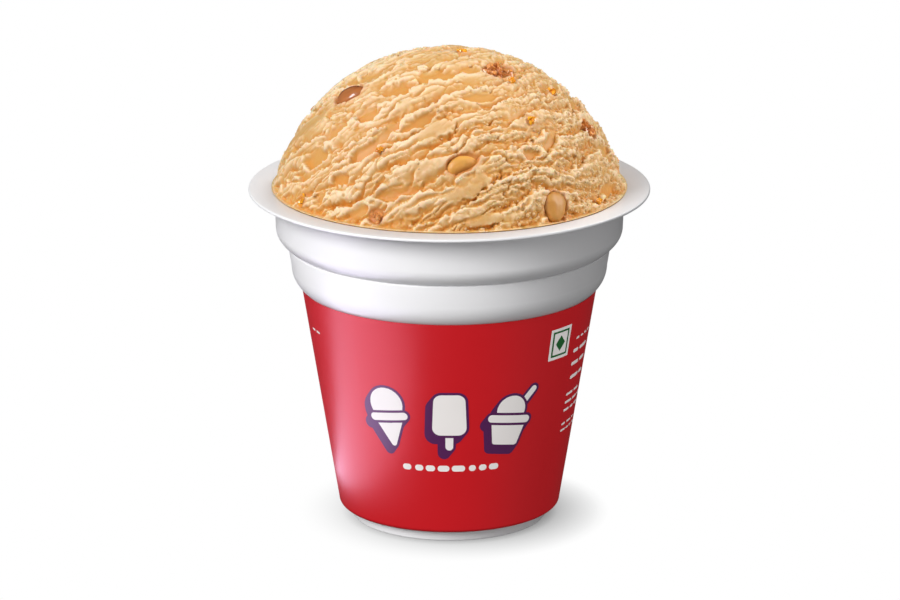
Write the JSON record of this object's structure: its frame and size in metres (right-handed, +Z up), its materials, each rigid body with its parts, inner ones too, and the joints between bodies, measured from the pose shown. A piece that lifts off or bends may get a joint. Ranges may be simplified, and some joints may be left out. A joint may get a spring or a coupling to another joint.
{
  "type": "gelato cup",
  "caption": "Tapered plastic single-serve cup with a wide rim, stepped bands and a printed sleeve, filled with a scooped dome of nut ice cream.",
  "frame": {"origin": "centre of the resting face of the foot ring, at the bottom of the object", "axes": "+Z up along the cup's axis; -Y towards the front, where the main print and the front nut are; +X to the right seen from the front"},
  "size_m": [0.075, 0.075, 0.0898],
  "materials": {
    "cup_plastic": "white moulded plastic with a soft satin gloss",
    "sleeve_print": "printed film moulded onto the wall, red ground with pale shapes, smooth and semi-gloss",
    "ice_cream": "pale caramel ice cream, soft, moist and matt, with torn and smeared furrows",
    "pale_nut": "split nut kernel, smooth, ochre, slightly oily",
    "roasted_nut": "roasted nut with a brown glossy skin",
    "caramel_crunch": "broken caramelised sugar, amber, glassy and rough at the edges"
  },
  "bodies": {
    "root": {"cup": "cup_plastic", "printed_sleeve": "sleeve_print", "ice_cream": "ice_cream", "nut_left": "roasted_nut", "nut_front": "pale_nut", "nut_right": "pale_nut", "nut_back": "pale_nut", "nut_back_low": "roasted_nut", "crunch_top": "caramel_crunch", "crunch_right": "caramel_crunch", "crunch_low": "caramel_crunch"}
  },
  "joints": []
}
